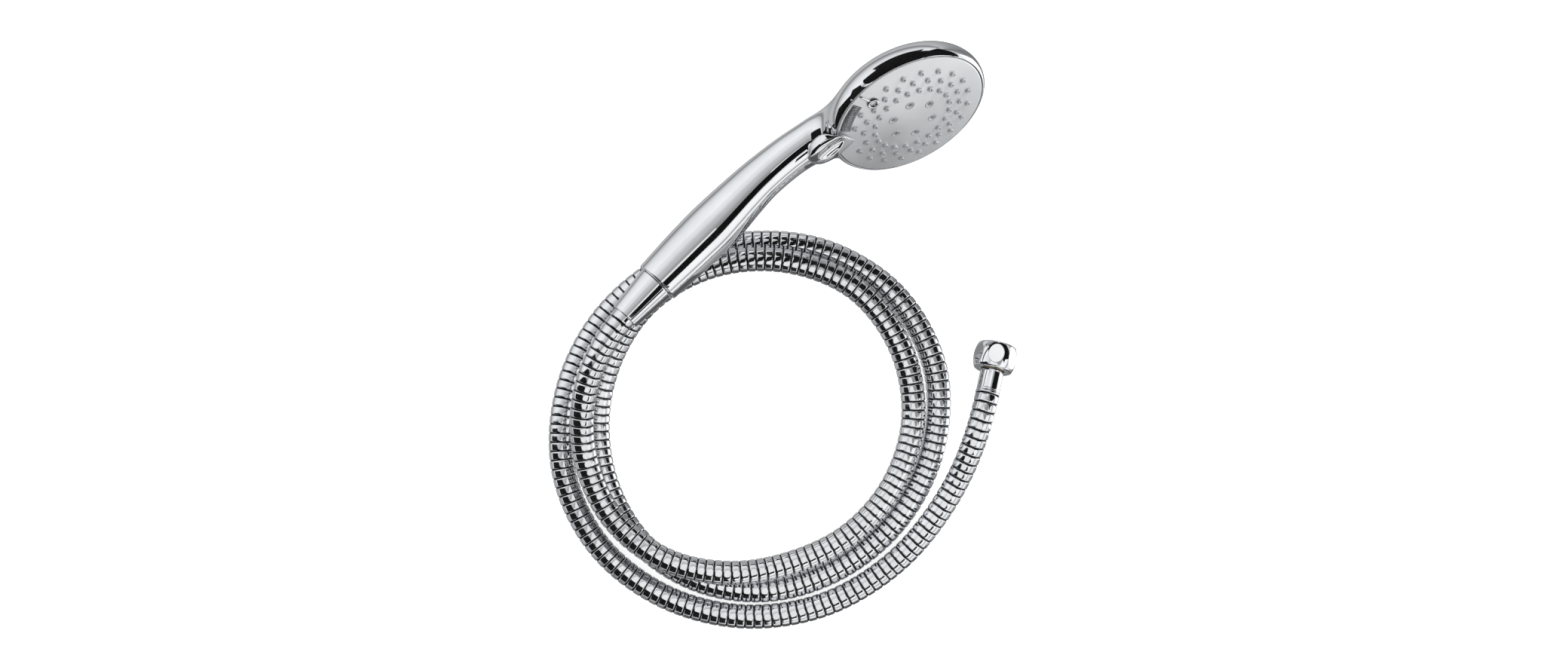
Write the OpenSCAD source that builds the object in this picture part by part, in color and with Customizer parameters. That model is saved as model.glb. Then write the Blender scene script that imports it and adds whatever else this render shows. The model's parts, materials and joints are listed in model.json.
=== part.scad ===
// Handheld shower head with its metal hose.
// The handset lies on its head's rim with the handle's lower end resting on the looped hose.
// Frame: floor at z = 0, +X from the handle's lower end to the head, origin under the middle
// of the handset's box.

/* [Handset pose] */
// How far the handle slopes down towards the head
handle_pitch = 6.6; // [6.5:0.1:6.7]
// How far the handset is rolled over, 0 being face up
handle_roll = 56.5; // [56:0.5:57]

/* [Handle and head] */
// Wall of the plastic shell
wall = 2.3; // [2:0.1:2.5]
// Angle between the spray face and the handle
face_tilt = 18; // [17.5:0.5:18.5]
// Largest radius of the head's back
head_r = 48.4; // [48.3:0.1:48.6]
// Depth of the head behind the edge of its face
head_depth = 28; // [28:0.5:29]

/* [Spray face] */
// Radius of the face plate
face_r = 45.4; // [45.2:0.1:45.5]
// How far the middle of the face plate stands above its edge
face_rise = 5; // [4.8:0.1:5.2]
// Small nozzles in each of the three rings
ring_nozzles = 20; // [16:1:20]
// Radius of the holes for the small nozzles
nozzle_hole_r = 1.8; // [1.75:0.05:1.85]
// Large jets in the middle
jets = 6; // [4:1:6]
// Radius of the circle that the large jets stand on
jet_ring_r = 13.1; // [12.9:0.1:13.2]

/* [Selector] */
// Rest angle of the lever, counted from the middle of the neck
lever_angle = 16; // [15:1:17]
// Radius at which the lever ends
lever_reach = 63.5; // [62.5:0.5:64]

/* [Hose] */
// Outer diameter of the hose
hose_d = 14; // [13.6:0.1:14]
// Flats of the hexagon nut
hex_flats = 23; // [22.6:0.1:23.4]
// Crest radius of the G 1/2 inner threads
thread_r = 9.3; // [9.3:0.02:9.34]

/* [Hidden] */
$fn = 64;

// Where the handle's lower end and the face's centre are
handle_at = [-103.7, 26.5, 38.65];
face_at = [166.6, 0, 46.25];

// Sections of the handle: distance from its lower end, height of the middle, half height, half width
handle_sections = [
    [0, 0, 13.4, 13.4], [8, 0.3, 13.9, 13.9], [18, 0.7, 14.5, 14.5], [30, 1.2, 15, 15],
    [45, 1.9, 15.3, 15.3], [58, 2.1, 14.6, 14.6], [70, 2.2, 13.7, 13.7], [83, 2.8, 12.8, 12.9],
    [95, 4.5, 12.3, 12.9], [107, 7.1, 12.1, 13.4], [118, 10.9, 12.2, 14.8], [128, 15, 12.4, 17],
    [138, 19.5, 11.8, 20], [150, 25.5, 10.5, 22]];
handle_sides = 28;

// Middle line of the water tube in the handle: distance from the lower end, height
waterway_line = [[14, 0.6], [30, 1.2], [45, 1.9], [66, 2.1], [83, 2.8], [95, 4.8],
                 [107, 7.9], [118, 11.6], [129, 15.4], [140.8, 19.2]];
waterway_sides = 16;
waterway_r = 5.4;
waterway_bore_r = 3.9;

// Levels in the head, from the edge plane of its face
shell_waist_z = -4.8;
cavity_waist_z = -7.5;
lip_z = 0;
// Rounding of the shell's edge: in from the largest radius, back from the edge
shoulder = [[1.95, 0.12], [1.25, 0.55], [0.7, 1.15], [0.3, 2], [0.07, 3.2]];
cavity_r = face_r + 0.35;
skirt_z = -7;
rotor_bottom_z = -9.2;
rotor_top_z = -6.2;
chamber_top_z = -9.5;
chamber_bottom_z = -12.5;
plenum_bottom_z = -21.5;
plate_t = 2.2;
mat_t = 2.1;
dome_r = (face_r * face_r + face_rise * face_rise) / (2 * face_rise);

// Nozzle rings: radius, angle of the first nozzle
nozzle_rings = [[23.3, 4.6], [29.7, 13.4], [35.7, 4.7]];
nozzle_r = 1.55;
nozzle_bore_r = 0.5;
nozzle_stand = 1.2;
jet_r = 2.7;
jet_first = 16.5;
jet_disc_r = 17.2;
pointer_angle = 113.5;
pointer_r = 33.9;
comb_from = 123;
comb_to = 151;
comb_ribs = 15;
comb_r = 39.6;
comb_w = 4;
comb_z = -0.6;
lever_apex_r = 35.6;
lever_half_w = 10.2;

// Inner pieces of the head
chamber_r = 43.2;
rotor_r = 45;
boss_r = 3.2;
boss_top_z = -20.5;
screw_r = 1.25;
screw_head_r = 2.8;
screw_seat_z = -11.3;
pivot_r = 1.95;
pivot_hole_r = 2.02;
pivot_head_r = 3.8;
pivot_head_z = -5.5;
port_ring_r = 20;
port_r = 3.4;
port_angles = [30:120:270];
boss_angles = [0, 120, 240];
detent_ring_r = 35;
detent_at = 60;
click_angles = [-40, -20, 0];
ball_r = 2;
ball_z = rotor_bottom_z - 1.2;
boss_ring_r = 37;
spigot_z = -18.2;
spigot_r = 3.3;
spigot_bore_r = 2.4;
spigot_from = -35.5;
plenum_r = 27;
plenum_wall = 1.6;
spring_wire_r = 0.3;
spring_from_z = -15.8;
detent_bore_r = 2.25;

// Handset end of the hose, measured out of the handle's lower end
cone_start = 0.6;
cone_end = 27;
cone_big_r = 11.2;
cone_small_r = 8.6;
nipple_end = 8.5;
washer_end = 10.5;
flange_end = 12.3;
hose_start = 16;

// Far end of the hose: middle of the nut, its heading and its dip
nut_at = [-2.8, -143.2, 12.8];
nut_yaw = 31;
nut_dip = 15;
nut_half = 7.5;
nut_barrel_r = 12.4;
thread_from = -0.7;
ferrule_start = -22.3;
ferrule_r = 6.8;

// The hose's loops: middle of the ring, then [radius, height] every 25 degrees from 116 degrees
loop_at = [-129, -68.8];
loop_first = 116;
loop_step = 25;
loop_stations = [
    [95.5, 37], [94.5, 26], [92.5, 21.5], [88, 22], [82.5, 20], [80, 16], [83, 15], [88, 14],
    [94, 12.5], [98.5, 13.4], [101, 16.4], [98.5, 18], [95.5, 17.9], [92.5, 17], [88.5, 10.5],
    [86.5, 7], [87, 7], [89.5, 7], [91, 7], [92.5, 7], [94.5, 7], [99, 7], [105.5, 7], [112, 7],
    [113.5, 7], [110.5, 7], [106, 7], [104.5, 7], [104.5, 7], [106, 7], [108.5, 7], [108.5, 7],
    [107, 7], [107, 7], [109, 7], [113, 8], [121, 13]];
hose_rings_each = 2;
hose_sides = 12;

// ---- Frames of the handset, the face and the two hose ends ----

module at_handle() translate(handle_at) rotate([0, handle_pitch, 0]) rotate([handle_roll, 0, 0]) children();

module on_face() at_handle() translate(face_at) rotate([0, -face_tilt, 0]) children();

module below_handle() at_handle() rotate([0, -90, 0]) children();

module at_nut() translate(nut_at) rotate([0, 0, nut_yaw]) rotate([0, 90 + nut_dip, 0]) children();

module around(radius, angle) rotate([0, 0, angle]) translate([radius, 0, 0]) children();

module ring(outer, inner, from, to) {
    translate([0, 0, from]) difference() {
        cylinder(r = outer, h = to - from);
        translate([0, 0, -1]) cylinder(r = inner, h = to - from + 2);
    }
}

// ---- Tubes swept along a line ----

function unit(v) = v / norm(v);

function handle_axis() = [cos(handle_pitch), 0, -sin(handle_pitch)];

function nut_axis() = [cos(nut_dip) * cos(nut_yaw), cos(nut_dip) * sin(nut_yaw), -sin(nut_dip)];

function loop_point(i) =
    let (angle = loop_first + loop_step * i, s = loop_stations[i])
    [loop_at[0] + s[0] * cos(angle), loop_at[1] + s[0] * sin(angle), s[1]];

// Every point that the hose runs through, straight out of the cone nut to the ferrule
function hose_points() = concat(
    [handle_at - hose_start * handle_axis(), handle_at - (cone_end + 2) * handle_axis()],
    [for (i = [0:len(loop_stations) - 1]) loop_point(i)],
    [nut_at + ferrule_start * nut_axis()]);

// Slope of the smooth curve at point i
function curve_slope(p, i, first, last) =
    i == 0 ? first : i == len(p) - 1 ? last :
    let (a = norm(p[i] - p[i - 1]), b = norm(p[i + 1] - p[i]))
    ((p[i + 1] - p[i]) * a / b + (p[i] - p[i - 1]) * b / a) / (a + b);

function curve_at(p, i, t, first, last) =
    let (span = norm(p[i + 1] - p[i]),
         m0 = curve_slope(p, i, first, last) * span,
         m1 = curve_slope(p, i + 1, first, last) * span)
    (2 * t * t * t - 3 * t * t + 1) * p[i] + (t * t * t - 2 * t * t + t) * m0
    + (3 * t * t - 2 * t * t * t) * p[i + 1] + (t * t * t - t * t) * m1;

function above_floor(p, low) = [p[0], p[1], max(p[2], low)];

function hose_line() =
    let (p = hose_points(), first = -handle_axis(), last = nut_axis())
    concat([p[0]],
           [for (i = [1:len(p) - 2]) for (k = [0:hose_rings_each - 1])
               above_floor(curve_at(p, i, k / hose_rings_each, first, last), hose_d / 2)],
           [p[len(p) - 1]]);

function line_heading(p, i, first, last) =
    i == 0 ? first : i == len(p) - 1 ? last : unit(p[i + 1] - p[i - 1]);

// A tube round a line of points, closed at both ends
module swept_tube(p, radius, sides, first, last, up = [0, 0, 1]) {
    points = [for (i = [0:len(p) - 1])
        let (heading = line_heading(p, i, first, last),
             side = unit(cross(heading, up)),
             top = cross(side, heading))
        for (k = [0:sides - 1])
            p[i] + radius * (cos(360 * k / sides) * top + sin(360 * k / sides) * side)];
    tube_of(points, len(p), sides);
}

// Skin over rings of points: two triangles for each step, and a flat cap at each end
module tube_of(points, rings, sides) {
    faces = concat(
        [[for (k = [0:sides - 1]) k]],
        [for (i = [0:rings - 2]) for (k = [0:sides - 1])
            let (n = (k + 1) % sides, a = i * sides)
            [a + k, a + sides + n, a + n]],
        [for (i = [0:rings - 2]) for (k = [0:sides - 1])
            let (n = (k + 1) % sides, a = i * sides)
            [a + k, a + sides + k, a + sides + n]],
        [[for (k = [sides - 1:-1:0]) (rings - 1) * sides + k]]);
    polyhedron(points, faces);
}

// The handle's outline, drawn in by the given amount
module handle_loft(inset, from_x) {
    s = handle_sections;
    points = [for (i = [0:len(s) - 1]) for (k = [0:handle_sides - 1])
        [i == 0 ? from_x : s[i][0],
         (inset - s[i][3]) * sin(360 * k / handle_sides),
         s[i][1] + (s[i][2] - inset) * cos(360 * k / handle_sides)]];
    tube_of(points, len(s), handle_sides);
}

module waterway_loft(radius, extra) {
    w = waterway_line;
    last = len(w) - 1;
    points = [for (i = [0:last]) for (k = [0:waterway_sides - 1])
        [w[i][0] + (i == 0 ? -extra : i == last ? extra : 0),
         -radius * sin(360 * k / waterway_sides), w[i][1] + radius * cos(360 * k / waterway_sides)]];
    tube_of(points, len(w), waterway_sides);
}

// ---- Handset ----

// The head's back: rounded lip, waist, then an elliptic dome
module head_back(radius, depth, lip) {
    dome = depth + shell_waist_z;
    rotate_extrude() polygon(concat(
        [[0, lip], [radius - 2.3, lip]],
        [for (step = shoulder) [radius - step[0], lip - step[1]]],
        [for (a = [0:7.5:90]) [radius * cos(a), shell_waist_z - dome * sin(a)]]));
}

module head_cavity() {
    dome = head_depth + cavity_waist_z - wall;
    rotate_extrude() polygon(concat(
        [[0, lip_z + 1], [cavity_r, lip_z + 1]],
        [for (a = [0:7.5:90]) [cavity_r * cos(a), cavity_waist_z - dome * sin(a)]]));
}

module body_shell() color("gainsboro") {
    difference() {
        union() {
            at_handle() handle_loft(0, 0);
            on_face() head_back(head_r, head_depth, lip_z);
        }
        at_handle() handle_loft(wall, -1);
        on_face() head_cavity();
    }
    on_face() intersection() {
        for (a = boss_angles) around(boss_ring_r, a) ring(boss_r, screw_r, boss_top_z, chamber_bottom_z);
        head_back(head_r - 0.6, head_depth - 0.6, lip_z);
    }
}

module end_collar() color("silver") below_handle() ring(11.05, 9.5, -2.4, 0.3);

module inlet_nipple() color("lightgray") below_handle() difference() {
    union() {
        translate([0, 0, -14]) cylinder(r = 8.4, h = 11);
        translate([0, 0, -6]) cylinder(r = 11.05, h = 3.5);
        translate([0, 0, -3]) cylinder(r = thread_r - 0.05, h = 3 + nipple_end);
    }
    translate([0, 0, -15]) cylinder(r = 5.5, h = 16 + nipple_end);
}

module inlet_seal() color("black") below_handle() translate([0, 0, -7.1]) rotate_extrude()
    translate([9.6, 0]) circle(r = 1);

module flow_restrictor() color("steelblue") below_handle() difference() {
    translate([0, 0, 3]) cylinder(r = 5.4, h = 3);
    for (a = [0:60:300]) around(3, a) translate([0, 0, 2]) cylinder(r = 0.8, h = 5);
}

module waterway_tube() color("white") at_handle() difference() {
    waterway_loft(waterway_r, 0);
    waterway_loft(waterway_bore_r, 1);
}

module plenum_cover() color("whitesmoke") on_face() difference() {
    union() {
        translate([0, 0, plenum_bottom_z]) cylinder(r = plenum_r, h = chamber_bottom_z - plenum_bottom_z);
        translate([spigot_from, 0, spigot_z]) rotate([0, 90, 0])
            cylinder(r = spigot_r, h = -spigot_from - plenum_r + plenum_wall);
    }
    translate([0, 0, plenum_bottom_z + 0.6]) cylinder(r = plenum_r - plenum_wall, h = 10);
    translate([spigot_from - 1, 0, spigot_z]) rotate([0, 90, 0]) cylinder(r = spigot_bore_r, h = 18);
}

module head_chamber() color("lightgray") on_face() difference() {
    union() {
        translate([0, 0, chamber_bottom_z]) cylinder(r = chamber_r, h = chamber_top_z - chamber_bottom_z);
        translate([0, 0, -18]) cylinder(r = 5, h = 8);
        around(detent_ring_r, detent_at) translate([0, 0, -17]) cylinder(r = 3.6, h = 7);
    }
    chamber_ring(1.05);
    translate([0, 0, -17]) cylinder(r = pivot_hole_r, h = 9);
    around(detent_ring_r, detent_at) translate([0, 0, -16.2]) cylinder(r = detent_bore_r, h = 9);
    for (a = port_angles) around(port_ring_r, a) translate([0, 0, -13]) cylinder(r = port_r + 0.05, h = 5);
    for (a = boss_angles) around(boss_ring_r, a) {
        translate([0, 0, -13]) cylinder(r = screw_r + 0.25, h = 5);
        translate([0, 0, screw_seat_z]) cylinder(r = screw_head_r + 0.2, h = 3);
    }
}

module chamber_ring(radius) rotate_extrude() translate([42.8, -11]) circle(r = radius);

module chamber_seal() color("black") on_face() chamber_ring(1);

module chamber_screws() color("goldenrod") on_face() for (a = boss_angles) around(boss_ring_r, a)
    difference() {
        union() {
            translate([0, 0, -17.2]) cylinder(r = screw_r, h = 6.7);
            translate([0, 0, screw_seat_z]) cylinder(r = screw_head_r, h = 1.6);
        }
        translate([-2, -0.35, -10.3]) cube([4, 0.7, 2]);
    }

module port_seals() color("black") on_face() for (a = port_angles)
    around(port_ring_r, a) ring(port_r, 2.2, -12.4, -9.35);

// Wire of the click spring, four turns under the ball
function spring_line(turns, radius, height) =
    [for (k = [0:turns * 10]) [radius * cos(36 * k), radius * sin(36 * k), height * k / (turns * 10)]];

module detent_spring() color("silver") on_face() around(detent_ring_r, detent_at)
    translate([0, 0, spring_from_z])
        swept_tube(spring_line(4, 1.5, 3), spring_wire_r, 6, [0, 1, 0], [0, 1, 0]);

module detent_ball() color("silver") on_face() around(detent_ring_r, detent_at)
    translate([0, 0, ball_z]) sphere(r = ball_r);

module pivot_screw() color("goldenrod") on_face() difference() {
    union() {
        translate([0, 0, -16]) cylinder(r = pivot_r, h = 11);
        translate([0, 0, pivot_head_z]) cylinder(r = pivot_head_r, h = 2.2);
    }
    translate([0, 0, -4.4]) cylinder(r = 1.6, h = 3, $fn = 6);
}

module pivot_washer() color("silver") on_face() ring(4.4, pivot_hole_r, rotor_top_z + 0.1, pivot_head_z);

module diverter_rotor() color("white") on_face() difference() {
    union() {
        translate([0, 0, rotor_bottom_z]) cylinder(r = rotor_r, h = skirt_z - rotor_bottom_z);
        translate([0, 0, skirt_z]) cylinder(r = face_r - 1.85, h = rotor_top_z - skirt_z);
    }
    translate([0, 0, -10]) cylinder(r = pivot_hole_r, h = 6);
    translate([0, 0, ball_z]) rotate_extrude() translate([detent_ring_r, 0]) circle(r = detent_bore_r);
    for (a = click_angles) around(detent_ring_r, detent_at + a) translate([0, 0, ball_z]) sphere(r = 2.5);
    for (a = port_angles) around(port_ring_r, a) translate([0, 0, -10]) cylinder(r = port_r - 0.8, h = 6);
}

// Part of a thick dome that lies under the face plate's skin
module dome_layer(radius, top, thickness) intersection() {
    translate([0, 0, -15]) cylinder(r = radius, h = 25);
    difference() {
        translate([0, 0, face_rise - dome_r]) sphere(r = dome_r - top, $fn = 200);
        translate([0, 0, face_rise - dome_r]) sphere(r = dome_r - top - thickness, $fn = 200);
    }
}

// Height of the face plate's skin at a radius
function skin_z(r) = face_rise - dome_r + sqrt(dome_r * dome_r - r * r);

// A nozzle place is left free where the pointer and the lever's root stand
function nozzle_free(r, a) = r < 33 || (abs(a - pointer_angle) > 8 && abs(a - 180 + lever_angle) > 8);

module at_nozzles() for (nozzle_ring = nozzle_rings) for (k = [0:ring_nozzles - 1])
    let (r = nozzle_ring[0], a = nozzle_ring[1] + 360 * k / ring_nozzles)
    if (nozzle_free(r, a)) around(r, a) translate([0, 0, skin_z(r)]) children();

module at_jets() for (k = [0:jets - 1])
    around(jet_ring_r, jet_first + 360 * k / jets) translate([0, 0, skin_z(jet_ring_r)]) children();

// The face plate's outside, as a solid cap
module plate_cap(radius, from, inset) intersection() {
    translate([0, 0, from]) cylinder(r = radius, h = 15);
    translate([0, 0, face_rise - dome_r]) sphere(r = dome_r - inset, $fn = 200);
}

module comb_arc(inner, outer, from, height, margin) rotate([0, 0, comb_from - margin])
    rotate_extrude(angle = comb_to - comb_from + 2 * margin)
        translate([inner, from]) square([outer - inner, height]);

module face_plate() color("lightsteelblue") on_face() difference() {
    plate_cap(face_r, skirt_z, 0);
    plate_cap(face_r - 1.8, skirt_z - 1, plate_t);
    comb_arc(comb_r, comb_r + comb_w, comb_z, 4, 2);
    at_nozzles() translate([0, 0, -4]) cylinder(r = nozzle_hole_r, h = 8, $fn = 24);
    at_jets() translate([0, 0, -4]) cylinder(r = jet_r + 0.15, h = 8, $fn = 32);
}

module nozzle_mat() color("gray") on_face() difference() {
    union() {
        dome_layer(face_r - 2.1, plate_t + 0.05, mat_t);
        at_nozzles() translate([0, 0, -3.6]) cylinder(r = nozzle_r, h = 3.6 + nozzle_stand, $fn = 16);
    }
    translate([0, 0, -8]) cylinder(r = jet_disc_r + 0.1, h = 16);
    at_nozzles() translate([0, 0, -6]) cylinder(r = nozzle_bore_r, h = 9, $fn = 16);
}

module jet_insert() color("gray") on_face() difference() {
    union() {
        dome_layer(jet_disc_r, plate_t + 0.05, mat_t);
        at_jets() translate([0, 0, -3]) cylinder(r = jet_r, h = 3.4, $fn = 32);
    }
    at_jets() translate([0, 0, -6]) cylinder(r = 1.1, h = 9, $fn = 24);
    at_jets() translate([0, 0, -0.8]) cylinder(r = 1.9, h = 3, $fn = 24);
}

// Pointed root on the face, plate over the lip, and a dished thumb tab outside the rim
module selector_lever() color("gainsboro") on_face() rotate([0, 0, 180 - lever_angle]) difference() {
    union() {
        hull() {
            translate([lever_reach - lever_half_w, 0, 0.6]) cylinder(r = lever_half_w, h = 2, $fn = 32);
            translate([lever_apex_r, -0.3, 1.2]) cube([1, 0.6, 1.5]);
        }
        hull() {
            translate([lever_reach - 7.4, 0, -5.2]) cylinder(r1 = 5, r2 = 7.2, h = 3, $fn = 32);
            translate([lever_reach - 7.6, 0, 0]) cylinder(r = 7.6, h = 1, $fn = 32);
        }
    }
    plate_cap(60, skirt_z, -0.05);
    translate([lever_reach - 8.5, 0, 13.4]) sphere(r = 12.5);
}

// Ribbed arc let into the plate's edge
module grip_comb() color("dimgray") on_face() {
    comb_arc(comb_r + 0.1, comb_r + comb_w - 0.1, comb_z, 0.4, 1.8);
    for (k = [0:comb_ribs - 1]) rotate([0, 0, comb_from + (comb_to - comb_from) * k / (comb_ribs - 1)])
        translate([comb_r + 0.1, -0.4, comb_z]) cube([comb_w - 1.2, 0.8, 1.5]);
}

// Small raised ring with a stem to the plate's edge
module mode_pointer() color("gainsboro") on_face() rotate([0, 0, pointer_angle])
    translate([0, 0, face_rise - dome_r]) rotate([0, asin(pointer_r / dome_r), 0])
        translate([0, 0, dome_r + 0.05]) {
            ring(3.8, 2.1, 0, 1.4);
            translate([3.2, -0.7, 0]) cube([7.4, 1.4, 0.7]);
        }

// ---- Hose and its ends ----

module cone_nut() color("gainsboro") below_handle() difference() {
    rotate_extrude() polygon([[0, cone_start], [cone_big_r - 0.4, cone_start],
        [cone_big_r, cone_start + 0.5], [cone_small_r + 0.1, cone_end - 0.6],
        [cone_small_r - 0.4, cone_end], [0, cone_end]]);
    cylinder(r = thread_r, h = flange_end + 0.3);
    cylinder(r = hose_d / 2 + 0.4, h = cone_end + 1);
}

module inlet_washer() color("black") below_handle() ring(thread_r - 0.4, 5.8, nipple_end, washer_end);

// Dished mesh that stands in the washer's hole
module filter_screen() color("silver") below_handle() difference() {
    translate([0, 0, nipple_end + 0.8]) cylinder(r = 5.7, h = 0.4);
    for (x = [-3.6:1.2:3.6]) for (y = [-3.6:1.2:3.6])
        translate([x - 0.4, y - 0.4, nipple_end]) cube([0.8, 0.8, 2]);
}

module hose_stem() color("silver") below_handle() difference() {
    union() {
        translate([0, 0, washer_end]) cylinder(r = thread_r - 0.4, h = flange_end - washer_end);
        translate([0, 0, flange_end - 1]) cylinder(r = 6.9, h = hose_start - flange_end + 1);
    }
    translate([0, 0, washer_end - 1]) cylinder(r = 4, h = 10);
}

module hose_tube() color("silver")
    swept_tube(hose_line(), hose_d / 2, hose_sides, -handle_axis(), nut_axis());

module hose_ferrule() color("gainsboro") at_nut() {
    ring(ferrule_r, 5.1, ferrule_start, -nut_half - 0.4);
    ring(ferrule_r + 0.3, 6, ferrule_start + 0.6, ferrule_start + 2);
}

module tail_stem() color("silver") at_nut() difference() {
    union() {
        translate([0, 0, ferrule_start + 1]) cylinder(r = 5.1, h = 14);
        translate([0, 0, -nut_half - 0.4]) cylinder(r = 6.6, h = 4);
        translate([0, 0, -4.7]) cylinder(r = thread_r - 0.4, h = 2);
    }
    translate([0, 0, ferrule_start]) cylinder(r = 4, h = 25);
}

module tail_washer() color("black") at_nut() ring(thread_r - 0.4, 6, -2.7, thread_from);

// Hexagon with barrelled corners, so that each flat shows as an oval
module hex_nut() color("gainsboro") at_nut() difference() {
    intersection() {
        translate([0, 0, -nut_half]) rotate([0, 0, 30])
            cylinder(r = hex_flats / 2 / cos(30), h = 2 * nut_half, $fn = 6);
        rotate_extrude() polygon(concat([[0, -nut_half]],
            [for (k = [-5:5]) [nut_barrel_r - 1.6 * pow(k / 5, 2), nut_half * k / 5]],
            [[0, nut_half]]));
    }
    translate([0, 0, thread_from]) cylinder(r = thread_r, h = 15);
    translate([0, 0, -5]) cylinder(r = thread_r + 0.3, h = 5 + thread_from);
    translate([0, 0, -10]) cylinder(r = 7, h = 12);
}

body_shell();
end_collar();
inlet_nipple();
inlet_seal();
flow_restrictor();
waterway_tube();
plenum_cover();
head_chamber();
chamber_seal();
chamber_screws();
port_seals();
detent_spring();
detent_ball();
pivot_screw();
pivot_washer();
diverter_rotor();
nozzle_mat();
jet_insert();
face_plate();
selector_lever();
grip_comb();
mode_pointer();
cone_nut();
inlet_washer();
filter_screen();
hose_stem();
hose_tube();
hose_ferrule();
tail_stem();
tail_washer();
hex_nut();
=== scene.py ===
"""Looks of the handheld shower head: chromed handset, satin spray face and ridged metal hose.

Lengths in the tables are millimetres, as in the CAD, and become metres where meshes are made.
"""
import json
import math

import bmesh
import bpy
import numpy as np
from mathutils import Matrix, Vector
from mathutils.geometry import delaunay_2d_cdt


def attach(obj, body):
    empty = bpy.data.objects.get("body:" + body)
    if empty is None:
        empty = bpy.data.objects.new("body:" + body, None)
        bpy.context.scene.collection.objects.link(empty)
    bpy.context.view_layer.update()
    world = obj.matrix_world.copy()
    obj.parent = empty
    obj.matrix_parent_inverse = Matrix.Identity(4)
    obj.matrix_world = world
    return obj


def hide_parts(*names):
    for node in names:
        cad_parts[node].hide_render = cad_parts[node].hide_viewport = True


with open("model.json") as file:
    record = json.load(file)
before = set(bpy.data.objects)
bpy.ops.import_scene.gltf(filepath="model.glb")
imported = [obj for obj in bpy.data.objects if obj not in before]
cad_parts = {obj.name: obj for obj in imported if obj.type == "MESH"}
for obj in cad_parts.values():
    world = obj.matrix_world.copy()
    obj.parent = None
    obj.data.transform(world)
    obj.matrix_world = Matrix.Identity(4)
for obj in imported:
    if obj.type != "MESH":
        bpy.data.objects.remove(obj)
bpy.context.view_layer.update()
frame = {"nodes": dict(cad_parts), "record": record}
MM = 0.001

# ---------------------------------------------------------------- frames shared with the CAD

HANDLE_AT = np.array([-103.7, 26.5, 38.65])
HANDLE_PITCH, HANDLE_ROLL = math.radians(6.6), math.radians(56.5)
FACE_AT = np.array([166.6, 0, 46.25])
FACE_TILT = math.radians(18)
NUT_AT = np.array([-2.8, -143.2, 12.8])
NUT_YAW, NUT_DIP = math.radians(31), math.radians(15)


def turn_x(a):
    return np.array([[1, 0, 0], [0, math.cos(a), -math.sin(a)], [0, math.sin(a), math.cos(a)]])


def turn_y(a):
    return np.array([[math.cos(a), 0, math.sin(a)], [0, 1, 0], [-math.sin(a), 0, math.cos(a)]])


def turn_z(a):
    return np.array([[math.cos(a), -math.sin(a), 0], [math.sin(a), math.cos(a), 0], [0, 0, 1]])


class Frame:
    """A turned and moved frame: place() takes points of the frame to the row frame."""

    def __init__(self, turn, at):
        self.turn, self.at = turn, np.asarray(at, float)

    def place(self, p):
        return np.asarray(p, float) @ self.turn.T + self.at

    def aim(self, v):
        return np.asarray(v, float) @ self.turn.T

    def inner(self, turn, at):
        return Frame(self.turn @ turn, self.place(at))


handset = Frame(turn_y(HANDLE_PITCH) @ turn_x(HANDLE_ROLL), HANDLE_AT)
face = handset.inner(turn_y(-FACE_TILT), FACE_AT)
below = handset.inner(turn_y(-math.pi / 2), (0, 0, 0))
nut = Frame(turn_z(NUT_YAW) @ turn_y(math.pi / 2 + NUT_DIP), NUT_AT)

# ---------------------------------------------------------------- meshes


def add_mesh(name, points, faces, material, body, place=None, normals=None):
    """A mesh object from millimetre points, placed by a frame, riding a CAD body."""
    p = np.asarray(points, float)
    n = None if normals is None else np.asarray(normals, float)
    if place is not None:
        p = place.place(p)
        n = None if n is None else place.aim(n)
    mesh = bpy.data.meshes.new(name)
    mesh.from_pydata((p * MM).tolist(), [], [list(map(int, f)) for f in faces])
    mesh.update()
    mesh.shade_smooth()
    if n is not None:
        mesh.normals_split_custom_set_from_vertices(n.tolist())
    obj = bpy.data.objects.new(name, mesh)
    bpy.context.collection.objects.link(obj)
    mesh.materials.append(material)
    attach(obj, body)
    return obj


def grid_faces(rows, cols, offset=0, closed=True):
    """Quads between rows of points, each row a closed or open ring."""
    out = []
    for i in range(rows - 1):
        for k in range(cols if closed else cols - 1):
            a, b = offset + i * cols + k, offset + i * cols + (k + 1) % cols
            out.append((a, b, b + cols, a + cols))
    return out


def lathe_data(profile, sides):
    """Points and quads of a profile of (radius, height) turned about the frame's z."""
    angles = np.arange(sides) * 2 * math.pi / sides
    points = [(r * math.cos(a), r * math.sin(a), z) for r, z in profile for a in angles]
    return points, grid_faces(len(profile), sides)


def rounded(profile, radius=0.4, steps=4):
    """The profile with its corners rounded; a corner is kept sharp where its two sides are short."""
    p = [np.array(q, float) for q in profile]
    out = [p[0]]
    for a, b, c in zip(p, p[1:], p[2:]):
        la, lc = np.linalg.norm(a - b), np.linalg.norm(c - b)
        cut = min(radius, la * 0.45, lc * 0.45)
        s, e = b + (a - b) / la * cut, b + (c - b) / lc * cut
        for t in np.linspace(0, 1, steps):
            out.append((1 - t) ** 2 * s + 2 * t * (1 - t) * b + t * t * e)
    out.append(p[-1])
    return [tuple(q) for q in out]


def lathe(name, profile, material, body, place, sides=96, radius=0.4):
    points, faces = lathe_data(rounded(profile, radius), sides)
    obj = add_mesh(name, points, faces, material, body, place)
    mark_sharp(obj, 50)
    return obj


def mark_sharp(obj, degrees):
    bm = bmesh.new()
    bm.from_mesh(obj.data)
    bmesh.ops.remove_doubles(bm, verts=bm.verts, dist=1e-6)
    bmesh.ops.recalc_face_normals(bm, faces=bm.faces)
    for e in bm.edges:
        if len(e.link_faces) == 2 and e.calc_face_angle(0) > math.radians(degrees):
            e.smooth = False
    bm.to_mesh(obj.data)
    bm.free()


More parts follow.
